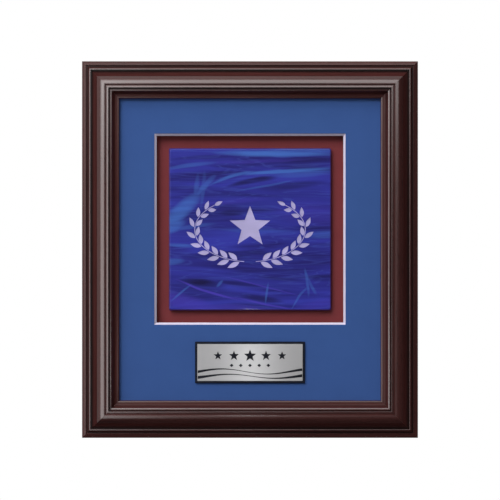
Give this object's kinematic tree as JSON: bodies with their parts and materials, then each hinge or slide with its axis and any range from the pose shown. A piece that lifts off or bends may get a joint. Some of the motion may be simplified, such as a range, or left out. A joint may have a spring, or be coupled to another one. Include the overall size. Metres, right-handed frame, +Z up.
{
  "type": "framed wall plaque",
  "caption": "Wall-hung award plaque: a moulded wood frame round a bevelled mat whose window shows a glass tile, with an engraved plate below, turn buttons and a sawtooth hanger behind.",
  "frame": {"origin": "the middle notch of the sawtooth hanger, on the wall's plane, where the wall's nail bears", "axes": "+Z up the plaque, +X to the right as its front is seen, +Y into the wall, so the front faces -Y"},
  "size_m": [0.3144, 0.0339, 0.3524],
  "materials": {
    "stained_wood": "dark mahogany stain under satin lacquer",
    "blue_mat": "matt blue facing on a white core",
    "maroon_board": "matt maroon facing",
    "foam_board": "white paper faces on foam",
    "hardboard": "raw brown hardboard",
    "art_glass": "polished opaque blue and violet swirls",
    "adhesive_foam": "white adhesive foam",
    "adhesive_film": "clear adhesive film",
    "black_metal": "black satin",
    "silver_metal": "satin silver, engraved",
    "zinc_plated_steel": "bright zinc plate",
    "brass_plated_steel": "yellow plate",
    "rubber": "matt dark rubber"
  },
  "bodies": {
    "plaque": {"frame_rail_bottom": "stained_wood", "frame_rail_right": "stained_wood", "frame_rail_top": "stained_wood", "frame_rail_left": "stained_wood", "v_nail_bottom_left_outer": "zinc_plated_steel", "v_nail_bottom_left_inner": "zinc_plated_steel", "v_nail_bottom_right_outer": "zinc_plated_steel", "v_nail_bottom_right_inner": "zinc_plated_steel", "v_nail_top_left_outer": "zinc_plated_steel", "v_nail_top_left_inner": "zinc_plated_steel", "v_nail_top_right_outer": "zinc_plated_steel", "v_nail_top_right_inner": "zinc_plated_steel", "window_mat": "blue_mat", "mat_spacer_top": "foam_board", "mat_spacer_bottom": "foam_board", "mat_spacer_left": "foam_board", "mat_spacer_right": "foam_board", "ground_board": "maroon_board", "mount_board": "foam_board", "back_panel": "hardboard", "glass_tile": "art_glass", "tile_pad_bottom_left": "adhesive_foam", "tile_pad_bottom_right": "adhesive_foam", "tile_pad_top_left": "adhesive_foam", "tile_pad_top_right": "adhesive_foam", "plate_film": "adhesive_film", "plate_backing": "black_metal", "plate_face": "silver_metal", "turn_button_screw_bottom_left": "brass_plated_steel", "turn_button_screw_bottom_right": "brass_plated_steel", "turn_button_screw_right": "brass_plated_steel", "turn_button_screw_top_left": "brass_plated_steel", "turn_button_screw_top_right": "brass_plated_steel", "turn_button_screw_left": "brass_plated_steel", "sawtooth_hanger": "zinc_plated_steel", "hanger_nail_left": "brass_plated_steel", "hanger_nail_right": "brass_plated_steel", "wall_bumper_left": "rubber", "wall_bumper_right": "rubber"},
    "button_bottom_left": {"turn_button_bottom_left": "zinc_plated_steel"},
    "button_bottom_right": {"turn_button_bottom_right": "zinc_plated_steel"},
    "button_right": {"turn_button_right": "zinc_plated_steel"},
    "button_top_left": {"turn_button_top_left": "zinc_plated_steel"},
    "button_top_right": {"turn_button_top_right": "zinc_plated_steel"},
    "button_left": {"turn_button_left": "zinc_plated_steel"}
  },
  "joints": [
    {"name": "turn_bottom_left", "type": "hinge", "parent": "plaque", "child": "button_bottom_left", "pos_m": [-0.075, -0.00325, -0.31893], "axis": [0, 1, 0], "continuous": true},
    {"name": "turn_bottom_right", "type": "hinge", "parent": "plaque", "child": "button_bottom_right", "pos_m": [0.075, -0.00325, -0.31893], "axis": [0, 1, 0], "continuous": true},
    {"name": "turn_right", "type": "hinge", "parent": "plaque", "child": "button_right", "pos_m": [0.13766, -0.00325, -0.16221], "axis": [0, 1, 0], "continuous": true},
    {"name": "turn_top_left", "type": "hinge", "parent": "plaque", "child": "button_top_left", "pos_m": [-0.075, -0.00325, -0.0055], "axis": [0, 1, 0], "continuous": true},
    {"name": "turn_top_right", "type": "hinge", "parent": "plaque", "child": "button_top_right", "pos_m": [0.075, -0.00325, -0.0055], "axis": [0, 1, 0], "continuous": true},
    {"name": "turn_left", "type": "hinge", "parent": "plaque", "child": "button_left", "pos_m": [-0.13766, -0.00325, -0.16221], "axis": [0, 1, 0], "continuous": true}
  ]
}
